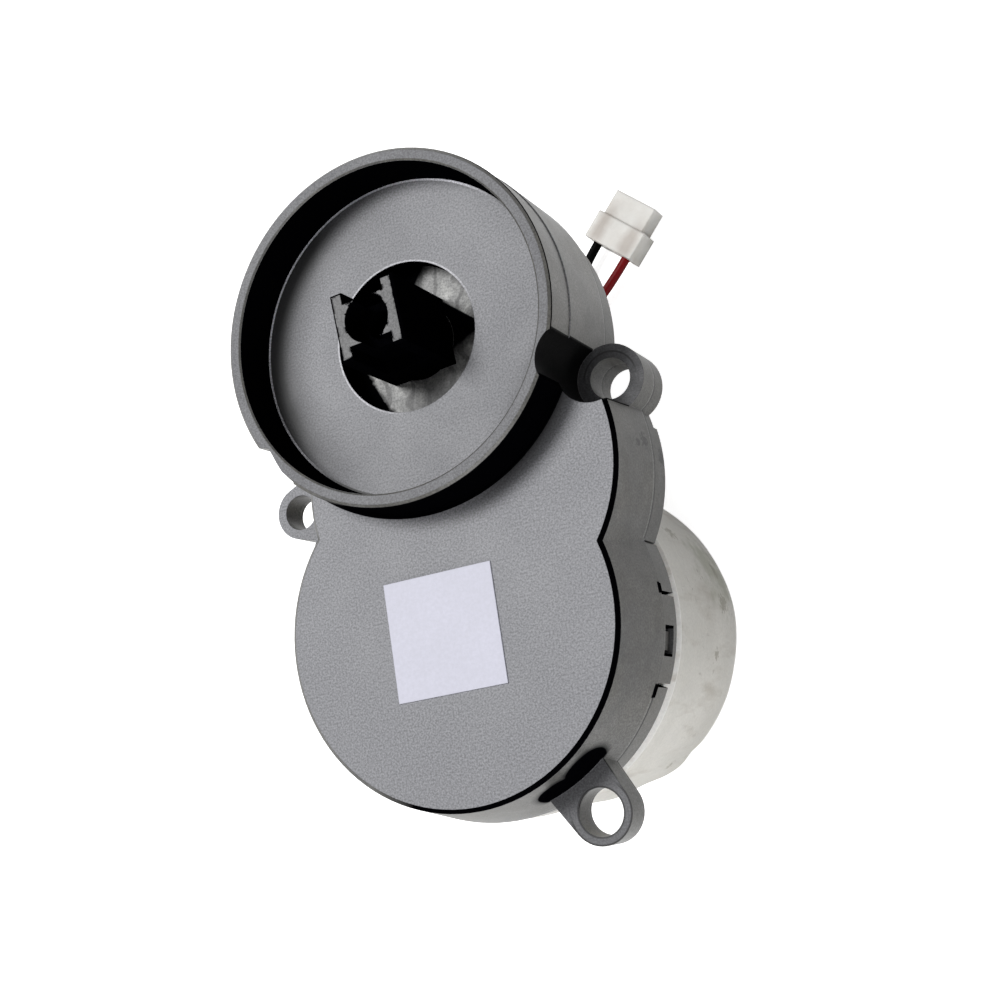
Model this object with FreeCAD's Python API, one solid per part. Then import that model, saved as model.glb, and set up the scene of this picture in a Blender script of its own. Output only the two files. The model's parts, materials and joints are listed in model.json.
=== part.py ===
import FreeCAD, Part
import os
from math import acos, atan2, cos, degrees, hypot, pi, radians, sin, sqrt, tan
from FreeCAD import Vector

# Robot vacuum side brush motor: a flat gearbox with a brush cup on its face and a
# round motor in a soft white boot on its back. Millimetres, +Z out of the cup.
# The origin is on the brush axis, level with the front face of the gearbox.

# Gear train
FIRST_MODULE = 0.5
FIRST_PINION_TEETH = 10
FIRST_WHEEL_TEETH = 45
SECOND_MODULE = 0.6
SECOND_PINION_TEETH = 10
SECOND_WHEEL_TEETH = 37
IDLER_OFFSET = 2.99
PRESSURE_ANGLE = 20.0
TOOTH_SHIFT = 0.41
BACKLASH = 0.10
FLANK_STEPS = 3

# Gearbox casing
LOBE_OVER_CAN = 0.85
MIDDLE_LOBE_D = 30.8
LOWER_LOBE_FLARE = 1.25
MIDDLE_LOBE_FLARE = 0.6
LOWER_COVER_STEP = -0.2
MIDDLE_COVER_STEP = -0.3
CUP_COVER_STEP = -0.5
CASE_WALL = 1.5
COVER_RIM_WALL = 2.5
FACE_WALL = 1.6
COVER_WALL = 1.6
COVER_DEPTH = 3.8
CASE_DEPTH = 11.8
EDGE_CHAMFER = 0.35
WAIST_RADIUS = 3.0
LIP_HEIGHT = 1.0
LIP_GAP = 0.12

# Brush cup
CUP_D = 33.0
CUP_HEIGHT = 4.5
CUP_RIM_WALL = 1.25
CUP_DRAFT = 0.25
CUP_STEP_Z = 0.4
CUP_STEP = 0.1
CUP_HOLE_D = 14.2

# Output gear and its post
POST_WIDTH = 6.5
POST_HEIGHT = 7.2
POST_TURN = 4.0
POST_GROOVE_WIDTH = 4.2
POST_GROOVE_DEPTH = 1.25
POST_MOUTH_D = 4.4
POST_MOUTH_DEPTH = 2.6
PILOT_D = 2.6
PILOT_DEPTH = 6.0
OUTPUT_WHEEL_FRONT = 2.6
WHEEL_GAP = 0.5
COLLAR_D = 18.6
COLLAR_WALL = 1.2
COLLAR_GAP = 0.15

# Idler gear, axles, bosses and washers
IDLER_FRONT = 2.4
IDLER_WHEEL_THICKNESS = 2.4
IDLER_BOSS_HEIGHT = 0.6
OUTPUT_AXLE_D = 2.5
IDLER_AXLE_D = 2.0
RUNNING_GAP = 0.03
END_PLAY = 0.05
AXLE_SEAT = 1.0
BOSS_D = 4.4
WASHER_THICKNESS = 0.25

# Motor
SHAFT_D = 2.0
PINION_GAP = 0.7
PINION_LENGTH = 3.2
CAN_D = 30.6
CAN_LENGTH = 17.8
CAN_WALL = 1.0
CAN_BOSS_D = 6.0
CAN_BOSS_HEIGHT = 1.4
BUSH_D = 4.6
MAGNET_THICKNESS = 2.8
AIR_GAP = 0.6
CORE_LENGTH = 5.8
CORE_ROOM = 3.0
POLE_ARM = 3.4
COIL_OVERHANG = 1.4
COMMUTATOR_D = 5.4
COMMUTATOR_NECK = 1.6
CARBON_LENGTH = 1.6
CARBON_WIDTH = 2.0
CARBON_HEIGHT = 2.2
BUSH_REACH = 0.8
CAP_THICKNESS = 2.2
CAP_HUB_D = 7.2
CAP_HUB_END = 1.2
TERMINAL_THICKNESS = 0.4
TERMINAL_WIDTH = 2.2
TERMINAL_TAIL = 1.7
TERMINAL_REACH = 3.6
SCREW_D = 2.0
SCREW_SPACING = 17.0

# Soft boot over the motor
BOOT_WALL = 1.3
BOOT_END_GAP = 2.1
BOOT_BEAD = 0.8
BOOT_BEAD_LENGTH = 1.8
BOOT_EDGE_RADIUS = 2.0

# Screw ears: bearing from the lobe's axis, hole diameter, outside diameter
LOWER_EAR_BEARING = -61.66
LOWER_EAR_D = (4.2, 5.8)
LOWER_EAR_REACH = 4.07
RIGHT_EAR_BEARING = -23.96
RIGHT_EAR_D = (3.8, 6.4)
LEFT_EAR_BEARING = 216.81
LEFT_EAR_D = (3.4, 5.2)
LEFT_EAR_REACH = 4.11
EAR_DEPTH = 5.0
COVER_EAR_THICKNESS = 2.0
COVER_EAR_RECESS = 0.6
DRIVER_POCKET_D = 6.3
POCKET_WALL = 1.2
POCKET_SKIN = 0.31

# Driver notch in the cup's wall beside the left ear: share of the wall, bearing
NOTCH = ((-0.24, 207.5), (0.70, 211.7), (0.42, 217.7), (0.22, 221.3), (0.13, 226.7))

# Snap tongue on the lower lobe, as angles about the motor axis
TONGUE = (-26.0, 0.5)
WINDOW = (-17.8, -8.5)
WINDOW_DEPTH = 2.2
WINDOW_EDGE = 0.85
SLOT_FEET = (-30.4, 4.0)
TONGUE_GAP = 0.35
TONGUE_FOOT = 0.9

# Relief in the cover's back edge around the right ear
EAR_RELIEF_D = 8.4
EAR_RELIEF_DEPTH = 1.2

# Label, leads and plug
LABEL_SIDE = 10.8
LABEL_THICKNESS = 0.12
LABEL_CENTRE = (-0.35, -27.65)
LEAD_D = 1.0
LEAD_PITCH = 3.9
LEAD_WINDOW_WIDTH = 5.6
LEAD_WINDOW_OFFSET = -4.2
PLUG_AT = (10.75, 14.46)
PLUG_TURN = 46.6
PLUG_WIDTH = 6.2
PLUG_BODY_WIDTH = 5.15
PLUG_THICKNESS = 3.0
PLUG_FLANGE_LENGTH = 3.2
PLUG_LENGTH = 6.05
CONTACT_WIDTH = 0.9

# Diameters, axes and levels that follow from the sizes above
LOWER_LOBE_D = CAN_D + 2 * LOBE_OVER_CAN
CUP_LOBE_D = CUP_D + 2 * CUP_STEP
COVER_LOWER_D = LOWER_LOBE_D + 2 * LOWER_LOBE_FLARE + 2 * LOWER_COVER_STEP
COVER_MIDDLE_D = MIDDLE_LOBE_D + 2 * MIDDLE_LOBE_FLARE + 2 * MIDDLE_COVER_STEP
COVER_CUP_D = CUP_LOBE_D + 2 * CUP_COVER_STEP
FIRST_DISTANCE = FIRST_MODULE * (FIRST_PINION_TEETH + FIRST_WHEEL_TEETH) / 2
SECOND_DISTANCE = SECOND_MODULE * (SECOND_PINION_TEETH + SECOND_WHEEL_TEETH) / 2
BRUSH_AT = (0.0, 0.0)
IDLER_AT = (IDLER_OFFSET, -sqrt(SECOND_DISTANCE ** 2 - IDLER_OFFSET ** 2))
MOTOR_AT = (0.0, IDLER_AT[1] - sqrt(FIRST_DISTANCE ** 2 - IDLER_OFFSET ** 2))
SEAM_DEPTH = CASE_DEPTH - COVER_DEPTH
COVER_INSIDE = CASE_DEPTH - COVER_WALL
PLAY_STACK = END_PLAY + WASHER_THICKNESS
IDLER_BACK = COVER_INSIDE - IDLER_BOSS_HEIGHT - PLAY_STACK
IDLER_WHEEL_FRONT = IDLER_BACK - IDLER_WHEEL_THICKNESS
OUTPUT_BACK = IDLER_WHEEL_FRONT - WHEEL_GAP
OUTPUT_WHEEL_THICKNESS = OUTPUT_BACK - OUTPUT_WHEEL_FRONT
FRONT_BUSH_TOP = CASE_DEPTH - CAN_BOSS_HEIGHT + 0.1
PINION_FRONT = FRONT_BUSH_TOP - PINION_GAP - PINION_LENGTH
CORE_D = CAN_D - 2 * (CAN_WALL + MAGNET_THICKNESS + AIR_GAP)
CAN_BACK = CASE_DEPTH + CAN_LENGTH
BOOT_END = CAN_BACK + BOOT_END_GAP + BOOT_WALL
BOOT_D = CAN_D + 2 * BOOT_WALL
LEAD_LEVEL = -(CAN_BACK + BOOT_END_GAP / 2)
PLUG_LEAD_LEVEL = -BOOT_END + PLUG_THICKNESS / 2


def on_circle(centre, radius, angle):
    return (centre[0] + radius * cos(radians(angle)), centre[1] + radius * sin(radians(angle)))


LOWER_EAR_AT = on_circle(MOTOR_AT, LOWER_LOBE_D / 2 + LOWER_EAR_REACH, LOWER_EAR_BEARING)
RIGHT_EAR_RADIUS = CUP_D / 2 - CUP_RIM_WALL + POCKET_SKIN + DRIVER_POCKET_D / 2
RIGHT_EAR_AT = on_circle(BRUSH_AT, RIGHT_EAR_RADIUS, RIGHT_EAR_BEARING)
LEFT_EAR_AT = on_circle(BRUSH_AT, CUP_D / 2 + LEFT_EAR_REACH, LEFT_EAR_BEARING)


def cylinder(diameter, low, high, at=BRUSH_AT):
    return Part.makeCylinder(diameter / 2, high - low, Vector(at[0], at[1], low))


def ring(outer, inner, low, high, at=BRUSH_AT):
    return cylinder(outer, low, high, at).cut(cylinder(inner, low - 1, high + 1, at))


def cone(low_d, high_d, low, high, at=BRUSH_AT):
    if abs(low_d - high_d) < 1e-6:
        return cylinder(low_d, low, high, at)
    return Part.makeCone(low_d / 2, high_d / 2, high - low, Vector(at[0], at[1], low))


def prism(points, low, high):
    corners = [Vector(x, y, low) for x, y in points]
    wire = Part.makePolygon(corners + corners[:1])
    return Part.Face(wire).extrude(Vector(0, 0, high - low))


def block(width, depth, low, high, at=BRUSH_AT, turn=0.0):
    solid = Part.makeBox(width, depth, high - low, Vector(-width / 2, -depth / 2, low))
    solid.rotate(Vector(0, 0, 0), Vector(0, 0, 1), turn)
    solid.translate(Vector(at[0], at[1], 0))
    return solid


def sector(outer, inner, angles, low, high, at=BRUSH_AT):
    """A piece of a ring between two angles in degrees."""
    start, end = angles
    tube = Part.makeCylinder(outer / 2, high - low, Vector(0, 0, low), Vector(0, 0, 1), end - start)
    piece = tube.cut(cylinder(inner, low - 1, high + 1))
    piece.rotate(Vector(0, 0, 0), Vector(0, 0, 1), start)
    piece.translate(Vector(at[0], at[1], 0))
    return piece


def bearing_angle(start, end):
    return degrees(atan2(end[1] - start[1], end[0] - start[0]))


# Gears

def involute(angle):
    return tan(angle) - angle


def tip_d(module, teeth, shift):
    return module * (teeth + 2 + 2 * shift)


def gear(module, teeth, shift, tooth_angle, low, high):
    """A spur gear on the brush axis with one tooth centred on tooth_angle."""
    pressure = radians(PRESSURE_ANGLE)
    pitch = module * teeth / 2
    base = pitch * cos(pressure)
    tip = tip_d(module, teeth, shift) / 2
    root = pitch - module * (1.25 - shift)
    thickness = module * (pi / 2 + 2 * shift * tan(pressure)) - BACKLASH / 2
    half_angle = thickness / (2 * pitch) + involute(pressure)
    start = max(base, root)
    flank = []
    if root < base:
        flank.append((root, half_angle))
    for step in range(FLANK_STEPS + 1):
        radius = start + (tip - start) * step / FLANK_STEPS
        flank.append((radius, half_angle - involute(acos(base / radius))))
    points = []
    for tooth in range(teeth):
        middle = radians(tooth_angle) + 2 * pi * tooth / teeth
        for radius, angle in flank:
            points.append((radius * cos(middle - angle), radius * sin(middle - angle)))
        for radius, angle in reversed(flank):
            points.append((radius * cos(middle + angle), radius * sin(middle + angle)))
    return prism(points, low, high)


def output_gear():
    facing = bearing_angle(BRUSH_AT, IDLER_AT)
    gap = facing + 180.0 / SECOND_WHEEL_TEETH
    front = -OUTPUT_WHEEL_FRONT
    back = -OUTPUT_BACK
    body = gear(SECOND_MODULE, SECOND_WHEEL_TEETH, -TOOTH_SHIFT, gap, back, front)
    rim_inside = tip_d(SECOND_MODULE, SECOND_WHEEL_TEETH, -TOOTH_SHIFT) - 8 * SECOND_MODULE
    body = body.cut(ring(rim_inside, 2 * BOSS_D, back - 1, back + 0.4 * OUTPUT_WHEEL_THICKNESS))
    collar = ring(COLLAR_D, COLLAR_D - 2 * COLLAR_WALL, front, -FACE_WALL - COLLAR_GAP)
    post = block(POST_WIDTH, POST_WIDTH, front, POST_HEIGHT)
    edges = [e for e in post.Edges if e.BoundBox.ZMin > POST_HEIGHT - 0.01]
    post = post.makeChamfer(0.25, edges)
    side = POST_WIDTH / 2 - POST_GROOVE_DEPTH / 2
    for sign in (-1, 1):
        groove = block(POST_GROOVE_WIDTH, POST_GROOVE_DEPTH, 1.0, POST_HEIGHT + 1, (0, sign * side))
        post = post.cut(groove)
    post.rotate(Vector(0, 0, 0), Vector(0, 0, 1), POST_TURN)
    body = body.fuse([collar, post])
    body = body.cut(cylinder(POST_MOUTH_D, POST_HEIGHT - POST_MOUTH_DEPTH, POST_HEIGHT + 1))
    body = body.cut(cylinder(PILOT_D, POST_HEIGHT - PILOT_DEPTH, POST_HEIGHT + 1))
    bore_top = OUTPUT_AXLE_TOP + 0.2
    return body.cut(cylinder(OUTPUT_AXLE_D + 2 * RUNNING_GAP, back - 1, bore_top))


def idler_gear():
    to_output = bearing_angle(IDLER_AT, BRUSH_AT)
    to_motor = bearing_angle(IDLER_AT, MOTOR_AT)
    gap = to_motor + 180.0 / FIRST_WHEEL_TEETH
    middle = -IDLER_WHEEL_FRONT
    back = -IDLER_BACK
    wheel = gear(FIRST_MODULE, FIRST_WHEEL_TEETH, -TOOTH_SHIFT, gap, back, middle)
    rim_inside = tip_d(FIRST_MODULE, FIRST_WHEEL_TEETH, -TOOTH_SHIFT) - 8 * FIRST_MODULE
    wheel = wheel.cut(ring(rim_inside, 1.6 * BOSS_D, back - 1, back + 0.3 * IDLER_WHEEL_THICKNESS))
    pinion = gear(SECOND_MODULE, SECOND_PINION_TEETH, TOOTH_SHIFT, to_output, middle, -IDLER_FRONT)
    body = wheel.fuse(pinion)
    body = body.cut(cylinder(IDLER_AXLE_D + 2 * RUNNING_GAP, back - 1, 0))
    body.translate(Vector(IDLER_AT[0], IDLER_AT[1], 0))
    return body


def motor_pinion():
    facing = bearing_angle(MOTOR_AT, IDLER_AT)
    back = -PINION_FRONT - PINION_LENGTH
    body = gear(FIRST_MODULE, FIRST_PINION_TEETH, TOOTH_SHIFT, facing, back, -PINION_FRONT)
    body = body.cut(cylinder(SHAFT_D, back - 1, 0))
    body.translate(Vector(MOTOR_AT[0], MOTOR_AT[1], 0))
    return body


# Axles, bosses and washers inside the casing

OUTPUT_AXLE_TOP = -0.5
OUTPUT_AXLE_END = -(COVER_INSIDE + AXLE_SEAT + 0.1)
IDLER_AXLE_TOP = -FACE_WALL + AXLE_SEAT
IDLER_AXLE_END = -(COVER_INSIDE + AXLE_SEAT)
OUTPUT_BOSS_TOP = -OUTPUT_BACK - PLAY_STACK
IDLER_FRONT_BOSS = -IDLER_FRONT + PLAY_STACK
IDLER_BACK_BOSS = -IDLER_BACK - PLAY_STACK
IDLER_TIP_D = tip_d(FIRST_MODULE, FIRST_WHEEL_TEETH, -TOOTH_SHIFT)
OUTPUT_BOSS_D = min(BOSS_D, 2 * (SECOND_DISTANCE - 0.3) - IDLER_TIP_D)


def output_axle():
    return cylinder(OUTPUT_AXLE_D, OUTPUT_AXLE_END, OUTPUT_AXLE_TOP)


def idler_axle():
    return cylinder(IDLER_AXLE_D, IDLER_AXLE_END, IDLER_AXLE_TOP, IDLER_AT)


def output_washer():
    top = OUTPUT_BOSS_TOP + WASHER_THICKNESS
    return ring(OUTPUT_BOSS_D - 0.2, OUTPUT_AXLE_D + 0.1, OUTPUT_BOSS_TOP, top)


def idler_front_washer():
    low = IDLER_FRONT_BOSS - WASHER_THICKNESS
    return ring(BOSS_D - 0.4, IDLER_AXLE_D + 0.1, low, IDLER_FRONT_BOSS, IDLER_AT)


def idler_back_washer():
    top = IDLER_BACK_BOSS + WASHER_THICKNESS
    return ring(BOSS_D - 0.4, IDLER_AXLE_D + 0.1, IDLER_BACK_BOSS, top, IDLER_AT)


# Casing

def lower_d(z):
    return LOWER_LOBE_D - 2 * LOWER_LOBE_FLARE * z / SEAM_DEPTH


def middle_d(z):
    return MIDDLE_LOBE_D - 2 * MIDDLE_LOBE_FLARE * z / SEAM_DEPTH


def front_lobes(inset, low, high):
    """The three joined lobes of the front casing with their sides moved in by inset."""
    lower = cone(lower_d(low) - 2 * inset, lower_d(high) - 2 * inset, low, high, MOTOR_AT)
    middle = cone(middle_d(low) - 2 * inset, middle_d(high) - 2 * inset, low, high, IDLER_AT)
    cup = cylinder(CUP_LOBE_D - 2 * inset, low, high)
    return lower.fuse([middle, cup])


def chamfered_lobe(diameter_at, at):
    """A front lobe from the seam to the face, with the edge of the face broken."""
    edge = -EDGE_CHAMFER
    wall = cone(diameter_at(-SEAM_DEPTH), diameter_at(edge), -SEAM_DEPTH, edge, at)
    rim = cone(diameter_at(edge), diameter_at(0) - 2 * EDGE_CHAMFER, edge, 0, at)
    return wall.fuse(rim)


def circle_meeting(first, first_r, second, second_r, left):
    """Where two circles cross, on the left or the right of the line between centres."""
    dx = second[0] - first[0]
    dy = second[1] - first[1]
    distance = hypot(dx, dy)
    along = (distance ** 2 + first_r ** 2 - second_r ** 2) / (2 * distance)
    across = sqrt(first_r ** 2 - along ** 2)
    if not left:
        across = -across
    x = first[0] + (dx * along - dy * across) / distance
    y = first[1] + (dy * along + dx * across) / distance
    return (x, y)


def waist_fill(lower_r, middle_r, low, high, low_radius, high_radius):
    """The soft inside corner between the lower and middle lobes on the left."""
    centre = circle_meeting(MOTOR_AT, lower_r + high_radius, IDLER_AT, middle_r + high_radius, True)
    web = prism([MOTOR_AT, IDLER_AT, centre], low, high)
    return web.cut(cone(2 * low_radius, 2 * high_radius, low, high, centre))


def tangent_point(point, centre, radius, left):
    """Where a straight side from point touches the round end of an ear."""
    distance = hypot(point[0] - centre[0], point[1] - centre[1])
    towards = atan2(point[1] - centre[1], point[0] - centre[0])
    swing = acos(min(1.0, radius / distance))
    angle = towards + swing if left else towards - swing
    return (centre[0] + radius * cos(angle), centre[1] + radius * sin(angle))


def ear_lug(centre, outside, first_foot, second_foot, root, low, high):
    """An ear with straight sides from two feet on the wall to its round end."""
    first = tangent_point(first_foot, centre, outside / 2, False)
    second = tangent_point(second_foot, centre, outside / 2, True)
    web = prism([root, first_foot, first, centre, second, second_foot], low, high)
    return web.fuse(cylinder(outside, low, high, centre))


def lower_ear_lug():
    wall = lower_d(-EAR_DEPTH) / 2 - CASE_WALL / 2
    first_foot = on_circle(MOTOR_AT, wall, -73.5)
    second_foot = on_circle(MOTOR_AT, wall, -51.0)
    root = on_circle(MOTOR_AT, wall - 3, -62)
    return ear_lug(LOWER_EAR_AT, LOWER_EAR_D[1], second_foot, first_foot, root, -SEAM_DEPTH, -EAR_DEPTH)


def left_ear_lug():
    first_foot = on_circle(BRUSH_AT, CUP_LOBE_D / 2 - CASE_WALL / 2, 211.5)
    second_foot = on_circle(IDLER_AT, middle_d(-EAR_DEPTH) / 2 - CASE_WALL / 2, 190.0)
    root = (first_foot[0] + 3, (first_foot[1] + second_foot[1]) / 2)
    return ear_lug(LEFT_EAR_AT, LEFT_EAR_D[1], second_foot, first_foot, root, -SEAM_DEPTH, -EAR_DEPTH)


def cup_wall():
    """The cup lobe with its step and broken rim edge, cut away beside the left ear."""
    top = CUP_HEIGHT - 0.3
    wall = cylinder(CUP_LOBE_D, -SEAM_DEPTH, CUP_STEP_Z)
    wall = wall.fuse([cylinder(CUP_D, CUP_STEP_Z, top), cone(CUP_D, CUP_D - 0.6, top, CUP_HEIGHT)])
    notch = [on_circle(BRUSH_AT, CUP_D / 2 - share * CUP_RIM_WALL, angle) for share, angle in NOTCH]
    outside = CUP_D / 2 + 1.5 * LEFT_EAR_D[1]
    notch = notch + [on_circle(BRUSH_AT, outside, angle) for angle in (229.0, 214.0, 203.0)]
    return wall.cut(prism(notch, -EAR_DEPTH, CUP_HEIGHT + 1))


def front_housing():
    lower = chamfered_lobe(lower_d, MOTOR_AT)
    middle = chamfered_lobe(middle_d, IDLER_AT)
    waist_low = WAIST_RADIUS - MIDDLE_LOBE_FLARE
    waist = waist_fill(LOWER_LOBE_D / 2, MIDDLE_LOBE_D / 2, -SEAM_DEPTH, -EDGE_CHAMFER, waist_low, WAIST_RADIUS)
    shape = cup_wall().fuse([lower, middle, waist, lower_ear_lug(), left_ear_lug()])
    shape = shape.cut(front_lobes(CASE_WALL, -SEAM_DEPTH, -FACE_WALL))
    floor_d = CUP_D - 2 * CUP_RIM_WALL
    recess = cone(floor_d - 2 * CUP_DRAFT, floor_d, 0, CUP_HEIGHT)
    lead_in = cone(floor_d, floor_d + 0.3, CUP_HEIGHT - 0.15, CUP_HEIGHT)
    shape = shape.cut(recess.fuse(lead_in)).cut(cylinder(CUP_HOLE_D, -FACE_WALL - 1, 1))
    # The wall of the driver pocket, the right ear and the front boss of the idler
    spot = RIGHT_EAR_AT
    pocket_floor = -EAR_DEPTH - 0.9
    pocket_wall = cylinder(DRIVER_POCKET_D + 2 * POCKET_WALL, pocket_floor, 0, spot)
    pocket_wall = pocket_wall.common(front_lobes(0.4, -SEAM_DEPTH, -EDGE_CHAMFER))
    ear = cylinder(RIGHT_EAR_D[1], -SEAM_DEPTH, -EAR_DEPTH, spot)
    boss = cylinder(BOSS_D, IDLER_FRONT_BOSS, -FACE_WALL, IDLER_AT)
    shape = shape.fuse([pocket_wall, ear, boss])
    shape = shape.cut(cylinder(DRIVER_POCKET_D, -EAR_DEPTH, CUP_HEIGHT + 1, spot))
    holes = ((LOWER_EAR_AT, LOWER_EAR_D[0]), (RIGHT_EAR_AT, RIGHT_EAR_D[0]), (LEFT_EAR_AT, LEFT_EAR_D[0]))
    for centre, diameter in holes:
        shape = shape.cut(cylinder(diameter, -SEAM_DEPTH - 1, CUP_HEIGHT + 1, centre))
    shape = shape.cut(cylinder(IDLER_AXLE_D, -FACE_WALL - 2, IDLER_AXLE_TOP, IDLER_AT))
    # The snap tongue runs on to the back edge and has a window for the cover's hook
    outside_d = COVER_LOWER_D
    inside_d = outside_d - 2 * CASE_WALL + 0.1
    tongue = sector(outside_d, inside_d, TONGUE, -CASE_DEPTH, -SEAM_DEPTH, MOTOR_AT)
    high = window_low() + WINDOW_DEPTH
    tongue = tongue.cut(sector(outside_d + 2, outside_d - 8, WINDOW, window_low(), high, MOTOR_AT))
    # A skirt of the same wall beside the tongue, as far as the waist
    beside = (TONGUE[1] + slot_gap(), waist_angle() - 0.4)
    skirt = sector(outside_d, inside_d, beside, -CASE_DEPTH, -SEAM_DEPTH, MOTOR_AT)
    foot = (TONGUE[1], SLOT_FEET[1])
    skirt = skirt.cut(sector(outside_d + 2, inside_d - 2, foot, -SEAM_DEPTH - TONGUE_FOOT, 0, MOTOR_AT))
    return shape.fuse([tongue, skirt]).removeSplitter()


def window_low():
    return -CASE_DEPTH + WINDOW_EDGE


def slot_gap():
    return degrees(TONGUE_GAP / (COVER_LOWER_D / 2))


def waist_angle():
    """Bearing of the corner between the lower and middle lobes of the cover, right side."""
    corner = circle_meeting(MOTOR_AT, COVER_LOWER_D / 2, IDLER_AT, COVER_MIDDLE_D / 2, False)
    return bearing_angle(MOTOR_AT, corner)


def cover_lobe(diameter, at):
    edge = -CASE_DEPTH + 0.3
    wall = cylinder(diameter, edge, -SEAM_DEPTH, at)
    return wall.fuse(cone(diameter - 0.6, diameter, -CASE_DEPTH, edge, at))


def rear_cover():
    lower = cover_lobe(COVER_LOWER_D, MOTOR_AT)
    middle = cover_lobe(COVER_MIDDLE_D, IDLER_AT)
    cup = cover_lobe(COVER_CUP_D, BRUSH_AT)
    radius = WAIST_RADIUS - MIDDLE_LOBE_FLARE
    waist = waist_fill(COVER_LOWER_D / 2, COVER_MIDDLE_D / 2, -CASE_DEPTH, -SEAM_DEPTH, radius, radius)
    lip = front_lobes(CASE_WALL + LIP_GAP, -SEAM_DEPTH, -SEAM_DEPTH + LIP_HEIGHT)
    spot = RIGHT_EAR_AT
    hole, outside = RIGHT_EAR_D
    lip = lip.cut(cylinder(outside + 0.3, -SEAM_DEPTH - 1, 0, spot))
    shape = lower.fuse([middle, cup, waist, lip])
    for diameter, at in ((COVER_LOWER_D, MOTOR_AT), (COVER_MIDDLE_D, IDLER_AT), (COVER_CUP_D, BRUSH_AT)):
        room = cylinder(diameter - 2 * COVER_RIM_WALL, -COVER_INSIDE, 0, at)
        shape = shape.cut(room)
    # The second layer of the right ear, cleared behind for its screw
    ear_back = -SEAM_DEPTH - COVER_EAR_THICKNESS
    shape = shape.fuse(cylinder(outside, ear_back, -SEAM_DEPTH, spot))
    shape = shape.cut(cylinder(hole + 2 * COVER_EAR_RECESS, -CASE_DEPTH - 1, ear_back, spot))
    shape = shape.cut(cylinder(hole, -CASE_DEPTH - 1, 0, spot))
    # Bosses for the two axles
    output_boss = cylinder(OUTPUT_BOSS_D, -COVER_INSIDE, OUTPUT_BOSS_TOP)
    idler_boss = cylinder(BOSS_D, -COVER_INSIDE, IDLER_BACK_BOSS, IDLER_AT)
    shape = shape.fuse([output_boss, idler_boss])
    shape = shape.cut(cylinder(OUTPUT_AXLE_D, OUTPUT_AXLE_END, 0))
    shape = shape.cut(cylinder(IDLER_AXLE_D, IDLER_AXLE_END, 0, IDLER_AT))
    # Room for the tongue and the skirt, then the hook that fills the tongue's window
    back_d = COVER_LOWER_D - 2 * CASE_WALL - 0.2
    slot = (TONGUE[0] - slot_gap(), waist_angle() + 0.2)
    shape = shape.cut(sector(COVER_LOWER_D + 4, back_d, slot, -CASE_DEPTH - 1, -SEAM_DEPTH, MOTOR_AT))
    foot = (SLOT_FEET[0], TONGUE[0])
    shape = shape.cut(sector(COVER_LOWER_D + 4, back_d, foot, -SEAM_DEPTH - TONGUE_FOOT, -SEAM_DEPTH, MOTOR_AT))
    grip = (WINDOW[0] + 1.5 * slot_gap(), WINDOW[1] - 1.5 * slot_gap())
    hook_d = COVER_LOWER_D - 0.9
    hook_low = window_low() + 0.1
    hook = sector(hook_d, back_d - 0.4, grip, hook_low, hook_low + WINDOW_DEPTH - 0.2, MOTOR_AT)
    shape = shape.fuse(hook)
    shape = shape.cut(cylinder(EAR_RELIEF_D, -CASE_DEPTH - 1, EAR_RELIEF_DEPTH - CASE_DEPTH, RIGHT_EAR_AT))
    # Openings for the motor and its two screws
    shape = shape.cut(cylinder(CAN_BOSS_D + 0.1, -CASE_DEPTH - 1, 0, MOTOR_AT))
    for at in screw_places():
        shape = shape.cut(cylinder(SCREW_D + 0.2, -CASE_DEPTH - 1, 0, at))
    return shape.removeSplitter()


def label():
    return block(LABEL_SIDE, LABEL_SIDE, 0, LABEL_THICKNESS, LABEL_CENTRE)


# Motor

CAN_INSIDE = CASE_DEPTH + CAN_WALL
CORE_FRONT = CAN_INSIDE + CORE_ROOM
CORE_BACK = CORE_FRONT + CORE_LENGTH
CAP_INSIDE = CAN_BACK - CAP_THICKNESS
FRONT_BUSH_END = CAN_INSIDE + BUSH_REACH
BACK_BUSH_FRONT = CAP_INSIDE - 0.4
COMMUTATOR_BACK = BACK_BUSH_FRONT - PLAY_STACK
BACK_BUSH_END = CAN_BACK + 0.4


def screw_places():
    half = SCREW_SPACING / 2
    return [(MOTOR_AT[0] - half, MOTOR_AT[1]), (MOTOR_AT[0] + half, MOTOR_AT[1])]


def motor_screw(at):
    head_top = -COVER_INSIDE + 0.9
    shank = cylinder(SCREW_D, -CAN_INSIDE - 1, -COVER_INSIDE, at)
    head = cylinder(1.9 * SCREW_D, -COVER_INSIDE, head_top, at)
    cross = block(0.5, 1.1 * SCREW_D, head_top - 0.4, head_top + 1, at)
    cross = cross.fuse(block(1.1 * SCREW_D, 0.5, head_top - 0.4, head_top + 1, at))
    return shank.fuse(head).cut(cross)


def motor_can():
    edge = -CASE_DEPTH - 0.6
    shell = cylinder(CAN_D, -CAN_BACK, edge, MOTOR_AT)
    shell = shell.fuse(cone(CAN_D, CAN_D - 1.2, edge, -CASE_DEPTH, MOTOR_AT))
    shell = shell.cut(cylinder(CAN_D - 2 * CAN_WALL, -CAN_BACK - 1, -CAN_INSIDE, MOTOR_AT))
    shell = shell.fuse(cylinder(CAN_BOSS_D, -CAN_INSIDE, -CASE_DEPTH + CAN_BOSS_HEIGHT, MOTOR_AT))
    shell = shell.cut(cylinder(BUSH_D, -CAN_BACK, 0, MOTOR_AT))
    for at in screw_places():
        shell = shell.cut(cylinder(SCREW_D, -CAN_INSIDE - 1, 0, at))
    return shell.removeSplitter()


def bush(low, high):
    return ring(BUSH_D, SHAFT_D + 2 * RUNNING_GAP, low, high, MOTOR_AT)


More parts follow.
